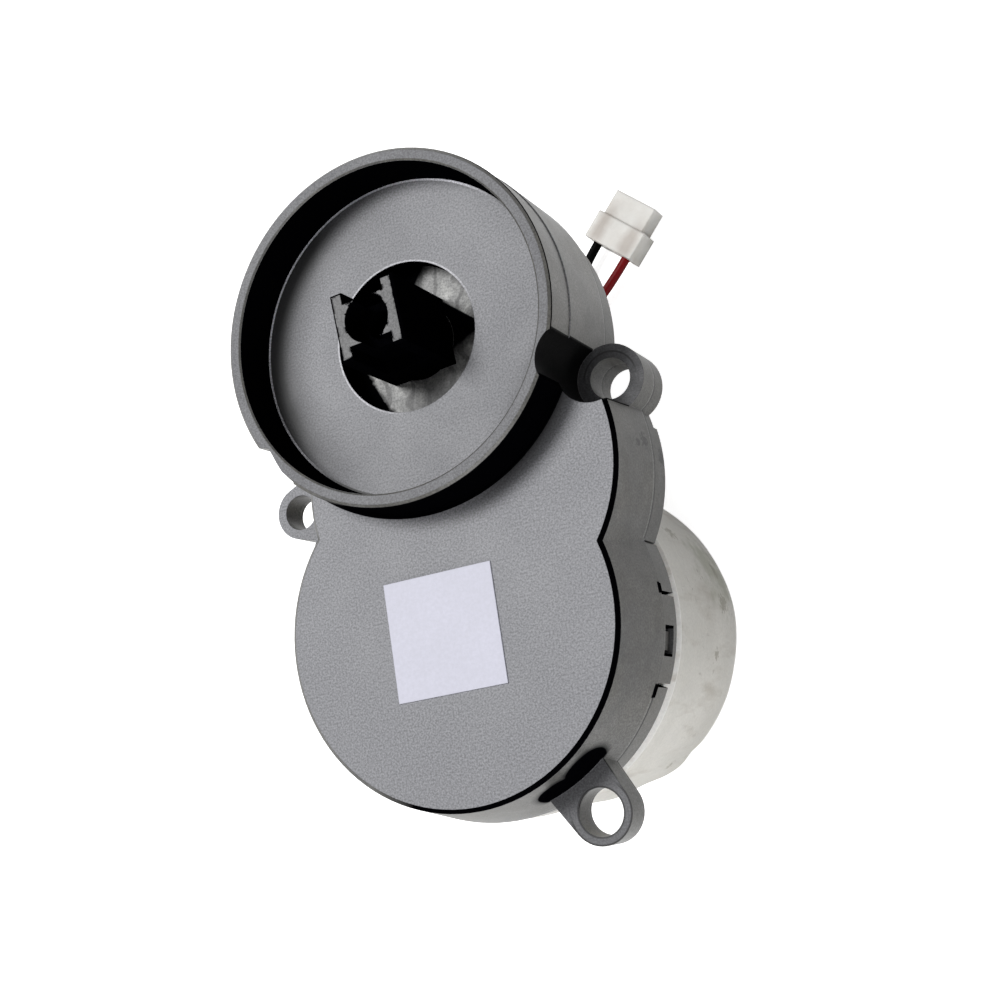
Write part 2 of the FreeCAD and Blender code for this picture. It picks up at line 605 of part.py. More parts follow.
def magnet(angles):
    outer = CAN_D - 2 * CAN_WALL
    low = -CAP_INSIDE + 1.9
    return sector(outer, outer - 2 * MAGNET_THICKNESS, angles, low, -CAN_INSIDE - 1, MOTOR_AT)


def motor_shaft():
    return cylinder(SHAFT_D, -BACK_BUSH_END - 0.6, -PINION_FRONT + 0.3, MOTOR_AT)


def pole_piece(low, high, arm_growth=0.0):
    """The three armed core of the rotor, before its bore."""
    shape = cylinder(3 * SHAFT_D, low, high)
    for number in range(3):
        turn = 90 + 120 * number
        reach = CORE_D / 2 - 1.5
        arm = block(reach, POLE_ARM + arm_growth, low, high, (reach / 2, 0))
        arm.rotate(Vector(0, 0, 0), Vector(0, 0, 1), turn)
        head = sector(CORE_D, CORE_D - 4.4, (turn - 48, turn + 48), low, high)
        shape = shape.fuse([arm, head])
    return shape


def rotor_core():
    core = pole_piece(-CORE_BACK, -CORE_FRONT).cut(cylinder(SHAFT_D, -CAN_BACK, 0))
    core.translate(Vector(MOTOR_AT[0], MOTOR_AT[1], 0))
    return core.removeSplitter()


def rotor_windings():
    outer = CORE_D - 5.4
    coils = ring(outer, 3 * SHAFT_D + 0.8, -CORE_BACK - COIL_OVERHANG, -CORE_FRONT + COIL_OVERHANG)
    coils = coils.cut(pole_piece(-CORE_BACK, -CORE_FRONT, 0.1))
    for number in range(3):
        slot = block(CORE_D, 1.2, -CORE_BACK - 2, -CORE_FRONT + 2, (CORE_D / 2 + 3 * SHAFT_D / 2 + 1.6, 0))
        slot.rotate(Vector(0, 0, 0), Vector(0, 0, 1), 30 + 120 * number)
        coils = coils.cut(slot)
    coils.translate(Vector(MOTOR_AT[0], MOTOR_AT[1], 0))
    return coils


def rotor_spacer():
    return ring(1.8 * SHAFT_D, SHAFT_D, -CORE_FRONT, -FRONT_BUSH_END - END_PLAY, MOTOR_AT)


def commutator():
    neck_back = CORE_BACK + COMMUTATOR_NECK
    neck = ring(2.2 * SHAFT_D, SHAFT_D, -neck_back, -CORE_BACK, MOTOR_AT)
    drum = ring(COMMUTATOR_D, SHAFT_D, -COMMUTATOR_BACK, -neck_back, MOTOR_AT)
    return neck.fuse(drum).removeSplitter()


def back_spacer():
    low = -COMMUTATOR_BACK - WASHER_THICKNESS
    return ring(1.7 * SHAFT_D, SHAFT_D, low, -COMMUTATOR_BACK, MOTOR_AT)


def terminal_offset():
    return COMMUTATOR_D / 2 + RUNNING_GAP + CARBON_LENGTH + TERMINAL_THICKNESS / 2


def terminal(side):
    at = (MOTOR_AT[0] + side * terminal_offset(), MOTOR_AT[1])
    return block(TERMINAL_THICKNESS, TERMINAL_WIDTH, -CAN_BACK - TERMINAL_TAIL, -CAP_INSIDE + TERMINAL_REACH, at)


def carbon_brush(side):
    inner = COMMUTATOR_D / 2 + RUNNING_GAP
    at = (MOTOR_AT[0] + side * (inner + CARBON_LENGTH / 2), MOTOR_AT[1])
    low = -COMMUTATOR_BACK + END_PLAY * 10
    return block(CARBON_LENGTH, CARBON_WIDTH, low, low + CARBON_HEIGHT, at)


def motor_end_cap():
    cap = cylinder(CAN_D - 2 * CAN_WALL, -CAN_BACK, -CAP_INSIDE, MOTOR_AT)
    hub = cylinder(CAP_HUB_D, -BACK_BUSH_END - CAP_HUB_END, -CAP_INSIDE, MOTOR_AT)
    cap = cap.fuse(hub)
    cap = cap.cut(cylinder(BUSH_D, -BACK_BUSH_END, 0, MOTOR_AT))
    cap = cap.cut(cylinder(1.3 * SHAFT_D, -BACK_BUSH_END - 0.7, 0, MOTOR_AT))
    for side in (-1, 1):
        cap = cap.cut(terminal(side))
    return cap.removeSplitter()


# Boot, leads and plug

def lead_points(side):
    """Points of a lead's route from its terminal, out of the boot and on to the plug.
    Side is -1 for the black lead and 1 for the red one."""
    start_x = MOTOR_AT[0] + side * terminal_offset()
    start_y = MOTOR_AT[1] + TERMINAL_WIDTH / 2
    inside = LEAD_LEVEL
    floor = -BOOT_END + LEAD_D / 2 + 0.1
    entry = plug_point(0, side * LEAD_PITCH / 2, PLUG_LEAD_LEVEL)
    if side < 0:
        return [
            Vector(start_x, start_y, inside),
            Vector(start_x, start_y + 4.5, inside),
            Vector(-5.3, -16.0, inside - 0.1),
            Vector(-5.6, -9.5, inside - 0.4),
            Vector(-4.6, -3.2, floor + 0.2),
            Vector(-1.9, 2.4, floor),
            Vector(2.3, 6.6, floor),
            Vector(5.4, 10.6, floor + 0.4),
            plug_point(-2.6, side * LEAD_PITCH / 2, PLUG_LEAD_LEVEL),
            entry,
        ]
    return [
        Vector(start_x, start_y, inside),
        Vector(start_x, start_y + 3.9, inside),
        Vector(1.6, -17.6, inside),
        Vector(-2.4, -14.0, inside - 0.1),
        Vector(-3.4, -8.0, inside - 0.5),
        Vector(-2.0, -2.2, floor + 0.1),
        Vector(1.2, 2.6, floor),
        Vector(4.3, 6.2, floor + 0.1),
        Vector(7.2, 8.9, floor + 0.4),
        plug_point(-3.0, side * LEAD_PITCH / 2, PLUG_LEAD_LEVEL),
        entry,
    ]


def rounded_path(points):
    """Straight runs between the points, with the largest arc that fits at each corner."""
    edges = []
    radii = []
    last = points[0]
    for before, corner, after in zip(points, points[1:], points[2:]):
        setback = 0.45 * min((before - corner).Length, (after - corner).Length)
        back = (before - corner).normalize()
        ahead = (after - corner).normalize()
        opening = back.getAngle(ahead)
        radius = setback * tan(opening / 2)
        enter = corner + back * setback
        leave = corner + ahead * setback
        centre = corner + (back + ahead).normalize() * (radius / sin(opening / 2))
        middle = centre + (corner - centre).normalize() * radius
        edges.append(Part.LineSegment(last, enter).toShape())
        edges.append(Part.Arc(enter, middle, leave).toShape())
        radii.append(round(radius, 1))
        last = leave
    edges.append(Part.LineSegment(last, points[-1]).toShape())
    return Part.Wire(edges), radii


def lead(side):
    points = lead_points(side)
    path, radii = rounded_path(points)
    print("lead", side, "length", round(path.Length, 1), "bend radii", radii)
    start = Part.Circle(points[0], points[1] - points[0], LEAD_D / 2)
    section = Part.Wire(start.toShape())
    tube = path.makePipeShell([section], True, False)
    print("lead", side, "volume over section times length", tube.Volume / path.Length / (pi * LEAD_D ** 2 / 4))
    return tube


def lead_window():
    """The slot in the boot wall that both leads come out of."""
    at = (MOTOR_AT[0] + LEAD_WINDOW_OFFSET, MOTOR_AT[1] + BOOT_D / 2)
    half = LEAD_D / 2 + 0.4
    return block(LEAD_WINDOW_WIDTH, 6, LEAD_LEVEL - half, LEAD_LEVEL + half, at)


def motor_boot():
    inner = CAN_D / 2
    outer = BOOT_D / 2
    top = -CASE_DEPTH
    end = -BOOT_END
    bead = outer + BOOT_BEAD
    edge = BOOT_EDGE_RADIUS
    half = BOOT_BEAD_LENGTH / 2
    inside_end = end + BOOT_WALL
    corner = Vector(outer - edge + edge * cos(pi / 4), 0, end + edge - edge * sin(pi / 4))
    lines = [
        Part.makeLine(Vector(0, 0, inside_end), Vector(inner, 0, inside_end)),
        Part.makeLine(Vector(inner, 0, inside_end), Vector(inner, 0, top)),
        Part.makeLine(Vector(inner, 0, top), Vector(outer, 0, top)),
        Part.Arc(Vector(outer, 0, top), Vector(bead, 0, top - half), Vector(outer, 0, top - 2 * half)).toShape(),
        Part.makeLine(Vector(outer, 0, top - 2 * half), Vector(outer, 0, end + edge)),
        Part.Arc(Vector(outer, 0, end + edge), corner, Vector(outer - edge, 0, end)).toShape(),
        Part.makeLine(Vector(outer - edge, 0, end), Vector(0, 0, end)),
        Part.makeLine(Vector(0, 0, end), Vector(0, 0, inside_end)),
    ]
    face = Part.Face(Part.Wire(lines))
    boot = face.revolve(Vector(0, 0, 0), Vector(0, 0, 1), 360)
    boot.translate(Vector(MOTOR_AT[0], MOTOR_AT[1], 0))
    return boot.cut(lead_window())


def plug_point(along, across, level):
    turn = radians(PLUG_TURN)
    x = PLUG_AT[0] + along * cos(turn) + across * sin(turn)
    y = PLUG_AT[1] + along * sin(turn) - across * cos(turn)
    return Vector(x, y, level)


def plug_block(start, end, width, low, high, across=0.0):
    middle = plug_point((start + end) / 2, across, 0)
    return block(end - start, width, low, high, (middle.x, middle.y), PLUG_TURN)


def plug_contact(side):
    half = CONTACT_WIDTH / 2
    low = PLUG_LEAD_LEVEL - half
    across = side * LEAD_PITCH / 2
    return plug_block(1.0, PLUG_LENGTH - 0.8, CONTACT_WIDTH, low, low + CONTACT_WIDTH, across)


def plug_housing():
    low = -BOOT_END
    high = low + PLUG_THICKNESS
    flange = plug_block(0, PLUG_FLANGE_LENGTH, PLUG_WIDTH, low, high)
    body = plug_block(PLUG_FLANGE_LENGTH, PLUG_LENGTH, PLUG_BODY_WIDTH, low + 0.25, high - 0.25)
    shape = flange.fuse(body)
    half = CONTACT_WIDTH / 2
    for side in (-1, 1):
        across = side * LEAD_PITCH / 2
        level = PLUG_LEAD_LEVEL - half
        shape = shape.cut(plug_block(1.0, PLUG_LENGTH + 1, CONTACT_WIDTH, level, level + CONTACT_WIDTH, across))
    return shape.removeSplitter()


def make_parts():
    left_screw, right_screw = screw_places()
    return {
        "front_housing": front_housing(),
        "rear_cover": rear_cover(),
        "blank_label": label(),
        "output_gear": output_gear(),
        "output_axle": output_axle(),
        "output_washer": output_washer(),
        "idler_gear": idler_gear(),
        "idler_axle": idler_axle(),
        "idler_front_washer": idler_front_washer(),
        "idler_back_washer": idler_back_washer(),
        "motor_pinion": motor_pinion(),
        "motor_shaft": motor_shaft(),
        "rotor_core": rotor_core(),
        "rotor_windings": rotor_windings(),
        "rotor_spacer": rotor_spacer(),
        "commutator": commutator(),
        "commutator_washer": back_spacer(),
        "motor_can": motor_can(),
        "magnet_upper": magnet((25, 155)),
        "magnet_lower": magnet((205, 335)),
        "front_bush": bush(-FRONT_BUSH_END, -FRONT_BUSH_TOP),
        "back_bush": bush(-BACK_BUSH_END, -BACK_BUSH_FRONT),
        "motor_end_cap": motor_end_cap(),
        "terminal_black": terminal(-1),
        "terminal_red": terminal(1),
        "carbon_brush_black": carbon_brush(-1),
        "carbon_brush_red": carbon_brush(1),
        "motor_screw_left": motor_screw(left_screw),
        "motor_screw_right": motor_screw(right_screw),
        "motor_boot": motor_boot(),
        "black_lead": lead(-1),
        "red_lead": lead(1),
        "plug_housing": plug_housing(),
        "plug_contact_black": plug_contact(-1),
        "plug_contact_red": plug_contact(1),
    }


os.makedirs("parts", exist_ok=True)
for name, shape in make_parts().items():
    shape.exportStep("parts/" + name + ".step")
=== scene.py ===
import bpy
import bmesh
import json
from math import asin, cos, exp, pi, radians, sin
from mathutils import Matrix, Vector


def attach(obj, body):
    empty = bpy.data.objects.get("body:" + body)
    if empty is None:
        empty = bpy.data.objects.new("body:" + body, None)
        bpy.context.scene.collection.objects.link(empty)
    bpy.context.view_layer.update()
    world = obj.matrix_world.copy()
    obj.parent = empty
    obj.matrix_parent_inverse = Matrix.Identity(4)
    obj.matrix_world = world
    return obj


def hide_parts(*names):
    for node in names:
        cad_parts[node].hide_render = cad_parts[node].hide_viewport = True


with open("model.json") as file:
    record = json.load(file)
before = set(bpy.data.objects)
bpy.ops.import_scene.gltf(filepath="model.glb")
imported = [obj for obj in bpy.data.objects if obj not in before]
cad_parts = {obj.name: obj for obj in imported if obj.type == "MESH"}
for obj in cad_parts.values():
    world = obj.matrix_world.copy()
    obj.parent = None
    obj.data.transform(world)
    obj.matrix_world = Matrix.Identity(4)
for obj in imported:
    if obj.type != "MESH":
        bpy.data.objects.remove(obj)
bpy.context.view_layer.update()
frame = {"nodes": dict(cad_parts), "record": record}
nodes = frame["nodes"]
scene = bpy.context.scene
scene.view_settings.view_transform = "Standard"

MM = 0.001
MOTOR = (0.0, -27.200)
FLOOR = -33.0


def link(name, data):
    piece = bpy.data.objects.new(name, data)
    scene.collection.objects.link(piece)
    return piece


def shade_smooth(mesh, angle=35):
    for polygon in mesh.polygons:
        polygon.use_smooth = True
    mesh.set_sharp_from_angle(angle=radians(angle))


# Camera at the photo's angle

camera = link("camera", bpy.data.cameras.new("camera"))
camera.data.sensor_width = 36
camera.data.lens = 54.96
camera.data.clip_start = 0.005
camera.location = (59.834 * MM, -45.728 * MM, 120.007 * MM)
camera.rotation_euler = (radians(8.3181), radians(25.3661), radians(-9.4616))
scene.camera = camera

# The two leads, along the routes of the solid model in millimetres

BLACK_ROUTE = (
    (-4.53, -26.10, -30.65),
    (-4.53, -21.60, -30.65),
    (-5.30, -16.00, -30.75),
    (-5.60, -9.50, -31.05),
    (-4.60, -3.20, -32.20),
    (-1.90, 2.40, -32.40),
    (2.30, 6.60, -32.40),
    (5.40, 10.60, -32.00),
    (7.547, 13.911, -31.50),
    (9.333, 15.800, -31.50),
)
RED_ROUTE = (
    (4.53, -26.10, -30.65),
    (4.53, -22.20, -30.65),
    (1.60, -17.60, -30.65),
    (-2.40, -14.00, -30.75),
    (-3.40, -8.00, -31.15),
    (-2.00, -2.20, -32.30),
    (1.20, 2.60, -32.40),
    (4.30, 6.20, -32.30),
    (7.20, 8.90, -32.00),
    (10.106, 10.940, -31.50),
    (12.167, 13.120, -31.50),
)


def make_lead(name, route, node):
    curve = bpy.data.curves.new(name, "CURVE")
    curve.dimensions = "3D"
    spline = curve.splines.new("NURBS")
    spline.points.add(len(route) - 1)
    for point, place in zip(spline.points, route):
        point.co = (place[0] * MM, place[1] * MM, place[2] * MM, 1)
        point.radius = 0.5 * MM
    spline.order_u = 3
    spline.use_endpoint_u = True
    spline.resolution_u = 24
    curve.bevel_depth = 1.0
    curve.bevel_resolution = 6
    curve.use_fill_caps = True
    piece = link(name, curve)
    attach(piece, "casing")
    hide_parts(node)
    return piece


black_lead = make_lead("black_wire", BLACK_ROUTE, "black_lead")
red_lead = make_lead("red_wire", RED_ROUTE, "red_lead")


# Materials

class Tree:
    """Nodes added by type to a node tree, with their inputs given as values or links."""

    def __init__(self, tree):
        self.tree = tree

    def feed(self, socket, value):
        if isinstance(value, bpy.types.NodeSocket):
            self.tree.links.new(value, socket)
        else:
            socket.default_value = value

    def add(self, kind, inputs=(), **settings):
        node = self.tree.nodes.new(kind)
        for key, value in settings.items():
            setattr(node, key, value)
        for key, value in dict(inputs).items():
            self.feed(node.inputs[key], value)
        return node

    def math(self, operation, first, second=0.0, clamp=False):
        inputs = {0: first, 1: second}
        return self.add("ShaderNodeMath", inputs, operation=operation, use_clamp=clamp).outputs[0]

    def spread(self, value, low, high, to_low=0.0, to_high=1.0):
        """The value, mapped from low and high to another range and kept within it."""
        inputs = {"Value": value, "From Min": low, "From Max": high,
                  "To Min": to_low, "To Max": to_high}
        return self.add("ShaderNodeMapRange", inputs).outputs[0]


class Graph(Tree):
    """The nodes of one material. Places and distances are in millimetres."""

    def __init__(self, name):
        self.material = bpy.data.materials.new(name)
        self.material.use_nodes = True
        super().__init__(self.material.node_tree)
        self.shader = self.tree.nodes["Principled BSDF"]
        self.place = self.add("ShaderNodeTexCoord").outputs["Object"]

    def locate(self):
        """Keep the place, the normal, and which faces look up or are upright."""
        self.x, self.y, self.z = self.axes(self.place, 1000.0)
        normal = self.add("ShaderNodeTexCoord").outputs["Normal"]
        self.nx, self.ny, self.nz = self.axes(normal)
        self.flat = self.above(self.nz, 0.90, 0.04)
        self.upright = self.below(self.nz, 0.5, 0.05)

    def join(self, value, socket):
        self.feed(self.shader.inputs[socket], value)

    def axes(self, vector, scale=1.0):
        parts = self.add("ShaderNodeSeparateXYZ", {0: vector}).outputs
        return [self.math("MULTIPLY", part, scale) for part in parts] if scale != 1.0 else list(parts)

    def vector(self, operation, first, second=(0.0, 0.0, 0.0), output="Vector"):
        inputs = {0: first, 1: second}
        return self.add("ShaderNodeVectorMath", inputs, operation=operation).outputs[output]

    def noise(self, scale, detail=3.0, rough=0.55, at=None):
        inputs = {"Vector": at or self.place, "Scale": scale, "Detail": detail, "Roughness": rough}
        return self.add("ShaderNodeTexNoise", inputs).outputs["Fac"]

    def levelled(self, noise, low=0.0, high=1.0):
        """Noise keeps near its middle, so that part of it is spread from low to high."""
        return self.spread(noise, 0.3, 0.7, low, high)

    def mix(self, share, first, second, blend="MIX"):
        inputs = {0: share, 6: first, 7: second}
        return self.add("ShaderNodeMix", inputs, data_type="RGBA", blend_type=blend).outputs[2]

    def paint(self, tone, mask, colour, share=1.0):
        """Lay a colour over the tone where the mask is, by at most share."""
        if share != 1.0:
            mask = self.math("MULTIPLY", mask, share)
        return self.mix(mask, tone, colour)

    def bump(self, height, distance, strength=1.0, normal=None):
        inputs = {"Height": height, "Distance": distance, "Strength": strength}
        if normal:
            inputs["Normal"] = normal
        return self.add("ShaderNodeBump", inputs).outputs["Normal"]

    def speckled(self, tone, fine, amount):
        flecks = self.spread(fine, 0.35, 0.72, 1 - amount, 1 + amount)
        grey = self.add("ShaderNodeCombineColor", {0: flecks, 1: flecks, 2: flecks}).outputs[0]
        return self.mix(1.0, tone, grey, "MULTIPLY")

    def rounded(self, width, samples):
        """A normal that rounds the edges, and how nearly it agrees with the flat one."""
        inputs = {"Radius": width * MM}
        normal = self.add("ShaderNodeBevel", inputs, samples=samples).outputs["Normal"]
        flat = self.add("ShaderNodeNewGeometry").outputs["Normal"]
        return normal, self.vector("DOT_PRODUCT", normal, flat, "Value")

    def worn_edges(self, width):
        """A normal that rounds the edges, and how far each edge is rubbed light."""
        normal, facing = self.rounded(width, 6)
        patchy = self.spread(self.noise(700, 3.0), 0.40, 0.62)
        return normal, self.math("MULTIPLY", self.spread(facing, 0.995, 0.90), patchy, True)

    def distance(self, spot, size=(1000.0, 1000.0, 1000.0)):
        """Distance from a spot, with each axis of the gap scaled by size."""
        gap = self.vector("SUBTRACT", self.place, [v * MM for v in spot])
        return self.vector("LENGTH", self.vector("MULTIPLY", gap, size), output="Value")

    def radius(self, axis):
        """Distance from an upright axis."""
        return self.distance((*axis, 0.0), (1000.0, 1000.0, 0.0))

    def plus(self, first, second, factor):
        return self.math("ADD", first, self.math("MULTIPLY", second, factor))

    def along(self, by_x, by_y, at=None):
        """How far a place, or another pair of values, lies along a direction."""
        x, y = at or (self.x, self.y)
        return self.plus(self.math("MULTIPLY", x, by_x), y, by_y)

    def above(self, value, limit, soft=0.02):
        return self.spread(value, limit - soft, limit + soft)

    def below(self, value, limit, soft=0.02):
        return self.spread(value, limit + soft, limit - soft)

    def between(self, value, low, high, soft=0.02):
        return self.both(self.above(value, low, soft), self.below(value, high, soft))

    def invert(self, mask):
        return self.spread(mask, 1.0, 0.0)

    def both(self, *masks):
        """Where all the masks are."""
        mask = masks[0]
        for other in masks[1:]:
            mask = self.math("MULTIPLY", mask, other)
        return mask

    def either(self, *masks):
        """Where any of the masks is."""
        mask = masks[0]
        for other in masks[1:]:
            mask = self.math("MAXIMUM", mask, other)
        return mask

    def marked(self, tone, marks, share, colour):
        """Small marks with ragged edges at the places in marks."""
        wavy = self.levelled(self.noise(2600, 3.0), -0.6, 0.6)
        for spot, size in marks:
            gap = self.math("ADD", self.distance(spot, size), wavy)
            tone = self.paint(tone, self.spread(gap, 1.1, 0.6), colour, share)
        return tone


def rgb(*colour):
    return (*colour, 1.0)


def shaded(colour, factor):
    return rgb(*(min(1.0, c * factor) for c in colour))


def finish_material(name, colour, rough, metallic=0.0, grain=5200, grain_depth=0.012,
                    speckle=0.10, wear=1.6, specular=0.5):
    """A moulded, turned or pressed surface with patches, fine grain and lightened edges."""
    g = Graph(name)
    patches = g.noise(130, 4.0)
    fine = g.noise(grain, 2.0, 0.6)
    tone = g.mix(patches, shaded(colour, 0.88), shaded(colour, 1.12))
    tone = g.speckled(tone, fine, speckle)
    rounded, wear_and_shade = g.worn_edges(0.10)
    tone = g.paint(tone, wear_and_shade, shaded(colour, wear), 0.55)
    g.join(tone, "Base Color")
    dull = g.levelled(patches, rough - 0.05, rough + 0.05)
    g.join(g.math("ADD", dull, g.levelled(fine, -0.05, 0.05)), "Roughness")
    g.join(g.bump(fine, grain_depth * MM, 1.0, rounded), "Normal")
    g.join(metallic, "Metallic")
    g.join(specular, "Specular IOR Level")
    return g.material


# Tones of flat faces (FACE, and GEAR on the output) and upright walls (WALL): the faces are lighter
# partly from the grained finish and partly as painted light, and the walls are darker partly as painted
# shade
FACE = (0.232, 0.234, 0.250)
WALL = (0.078, 0.078, 0.075)
GEAR = (0.20, 0.20, 0.205)
BLACK = rgb(0.0010, 0.0010, 0.0015)
SCUFF_BLACK = rgb(0.003, 0.003, 0.003)
DARK_GREY = rgb(0.02, 0.02, 0.022)

# Places on the casing, in millimetres
EAR = (17.098, -7.598)
LOWER_EAR = (9.598, -44.997)
# Centres of the painted shadow at the lower ear's root
ROOT_SHADOW_SPOTS = ((9.6, -41.2, -3.7), (6.6, -42.6, -4.2))
SCUFFS = (
    ((18.55, -13.6, -6.2), (700.0, 1500.0, 1300.0)),
    ((18.55, -13.9, -4.9), (700.0, 2400.0, 2100.0)),
    ((18.55, -14.4, -10.9), (700.0, 1300.0, 1100.0)),
)

# Levels that tell the casing's faces apart, in millimetres
RIM_LEVEL = 4.4
FLOOR_LEVEL = 0.3
FACE_LOW = -0.6
EAR_LEVEL = -4.9
SEAM_TOP = -7.76
SEAM_LOW = -8.02
COVER_LOW = -11.7
GEAR_LEVEL = -2.4


def moulded_black(name, regions, face=FACE):
    """Black plastic with grained flat faces, polished walls and near black hollows of painted shade; the
    faces' lighter tone is partly painted light.
    """
    g = Graph(name)
    g.locate()
    patches = g.noise(150, 4.0)
    fine = g.noise(5600, 2.0, 0.65)
    mottle = g.spread(g.noise(420, 5.0, 0.65), 0.35, 0.68)
    warm_wall = rgb(WALL[0] * 1.30, WALL[1] * 1.24, WALL[2] * 1.12)
    warm = g.mix(g.levelled(patches), shaded(WALL, 0.82), warm_wall)
    warm = g.mix(mottle, g.mix(0.16, warm, rgb(0, 0, 0)), g.mix(0.03, warm, rgb(1, 1, 1)))
    # Flat faces take the lighter face tone and walls the darker wall tone: partly finish, partly painted
    # light and painted shade
    tone = g.mix(g.flat, warm, g.mix(patches, shaded(face, 0.94), shaded(face, 1.06)))
    rounded, wear_and_shade = g.worn_edges(0.10)
    tone = g.paint(tone, wear_and_shade, shaded(face, 1.25), 0.45)
    # The regions paint light and shade into the tone and return a mask of painted shade, with worn ragged
    # edges on the post, that turns near black and loses its specular
    tone, shade_and_wear = regions(g, tone)
    tone = g.speckled(g.mix(shade_and_wear, tone, BLACK), fine, 0.40)
    g.join(tone, "Base Color")
    rough = g.spread(g.flat, 0.0, 1.0, 0.34, 0.56)
    g.join(g.math("ADD", rough, g.levelled(patches, -0.05, 0.05)), "Roughness")
    g.join(g.spread(shade_and_wear, 0.0, 1.0, 0.5, 0.0), "Specular IOR Level")
    g.join(g.bump(fine, 0.014 * MM, 1.0, rounded), "Normal")
    return g.material


def shade_cup(g, tone, cup):
    """A painted highlight on the hole's rim, the cup's darker rim top, the rim's painted shadow on the
    floor, a painted highlight and painted shade at the floor's corner, and the cup's painted shadow on
    the face beside its wall.
    """
    left = g.along(-0.70, 0.72)
    west = g.along(-0.966, 0.26)
    away = g.along(0.809, -0.588)
    # A painted highlight on the hole's rim, on the side toward the lamp
    hole_rim_highlight = g.both(g.between(cup, 7.08, 7.27), g.flat, g.above(left, -2.5, 2.0))
    tone = g.paint(tone, hole_rim_highlight, rgb(0.62, 0.62, 0.66), 0.8)
    tone = g.paint(tone, g.both(g.above(g.z, RIM_LEVEL), g.flat), BLACK, 0.47)
    floor = g.both(g.flat, g.below(g.z, FLOOR_LEVEL))
    # The rim's painted shadow on the floor, inside the wall on the lamp's side
    rim_shadow = g.both(g.spread(cup, 9.4, 13.5), g.spread(west, 1.0, 11.0), floor, g.below(cup, 15.1))
    tone = g.paint(tone, g.math("POWER", rim_shadow, 1.4), BLACK, 0.95)
    corner = g.both(g.between(cup, 14.80, 15.04), floor)
    # A painted highlight at the floor's corner on the lamp side, and painted shade in the corner on the
    # other side
    tone = g.paint(tone, g.both(corner, g.above(left, 1.0, 3.0)), rgb(0.80, 0.80, 0.86))
    tone = g.paint(tone, g.both(corner, g.below(left, 0.0, 3.0)), rgb(0.02, 0.02, 0.02))
    # The cup's painted shadow on the face beside its wall, on the side away from the lamp
    cup_shadow = g.both(g.spread(cup, 18.9, 17.0), g.spread(away, 11.5, 15.5), g.flat)
    cup_shadow = g.both(cup_shadow, g.between(g.z, FACE_LOW, 0.05))
    return g.paint(tone, g.math("POWER", cup_shadow, 1.2), BLACK, 0.90)


def shade_right_ear(g, tone, ear):
    """The ear's top in its pocket, darkened in patches as painted shade, a painted shade line round its
    hole, and the inside of the hole painted lighter grey as painted light.
    """
    top = g.both(g.below(ear, 3.35), g.flat, g.below(g.z, EAR_LEVEL))
    # Patchy painted shade on the ear's top at the bottom of its pocket
    wear_and_shade = g.spread(g.noise(800, 4.0), 0.35, 0.65, 0.92, 0.72)
    tone = g.paint(tone, g.both(top, wear_and_shade), rgb(0.03, 0.03, 0.032))
    # A painted shade line round the upper half of the ear's hole
    hole_edge_shade = g.both(top, g.between(ear, 2.42, 2.58, 0.03), g.above(g.y, -7.2, 0.4))
    tone = g.paint(tone, hole_edge_shade, BLACK)
    # Painted light on the wall of the ear's hole
    bore_light = g.both(g.below(ear, 2.05), g.upright, g.below(g.z, EAR_LEVEL))
    return g.paint(tone, bore_light, rgb(0.26, 0.26, 0.255), 0.40)


def shade_lower_ear(g, tone):
    """The ear's darker top, with painted shade lines along its outside and round its hole."""
    ear = g.radius(LOWER_EAR)
    top = g.both(g.below(ear, 6.0), g.flat, g.between(g.z, -5.1, EAR_LEVEL))
    tone = g.paint(tone, top, DARK_GREY, 0.60)
    # Painted shade lines along the ear's outside edge and round its hole
    outside = g.above(g.along(0.475, -0.880), 43.2, 0.5)
    tone = g.paint(tone, g.both(top, g.between(ear, 2.74, 3.0, 0.03), outside), BLACK)
    return g.paint(tone, g.both(top, g.between(ear, 2.08, 2.25, 0.03)), BLACK, 0.85)


def shade_walls(g, tone, cup):
    """Painted sheen on the cup's and the lower lobe's walls, painted light on the lower right walls, and
    the seam above the cover with a painted highlight along the housing's edge above it.
    """
    # Painted sheen on the walls of the cup and the lower lobe
    painted_sheen = g.both(g.between(cup, 16.2, 19.5), g.upright, g.above(g.y, -3.0, 2.0), g.above(g.x, 3.0, 2.0))
    painted_sheen = g.both(painted_sheen, g.spread(g.noise(180, 4.0), 0.35, 0.6))
    tone = g.paint(tone, painted_sheen, rgb(0.27, 0.26, 0.25), 0.30)
    # Painted light on the lower right walls
    lit_low_right = g.both(g.below(g.y, -36.0, 2.0), g.upright, g.above(g.x, 8.0, 2.0))
    tone = g.paint(tone, lit_low_right, rgb(0.25, 0.25, 0.245), 0.26)
    plain = g.both(g.upright, g.invert(tongue_zone(g)))
    # A painted highlight along the housing's edge above the seam, then the seam's dark gap
    tone = g.paint(tone, g.both(g.between(g.z, SEAM_TOP, -7.50), plain), rgb(0.32, 0.32, 0.31), 0.30)
    return g.paint(tone, g.both(g.between(g.z, SEAM_LOW, SEAM_TOP), plain), BLACK, 0.80)


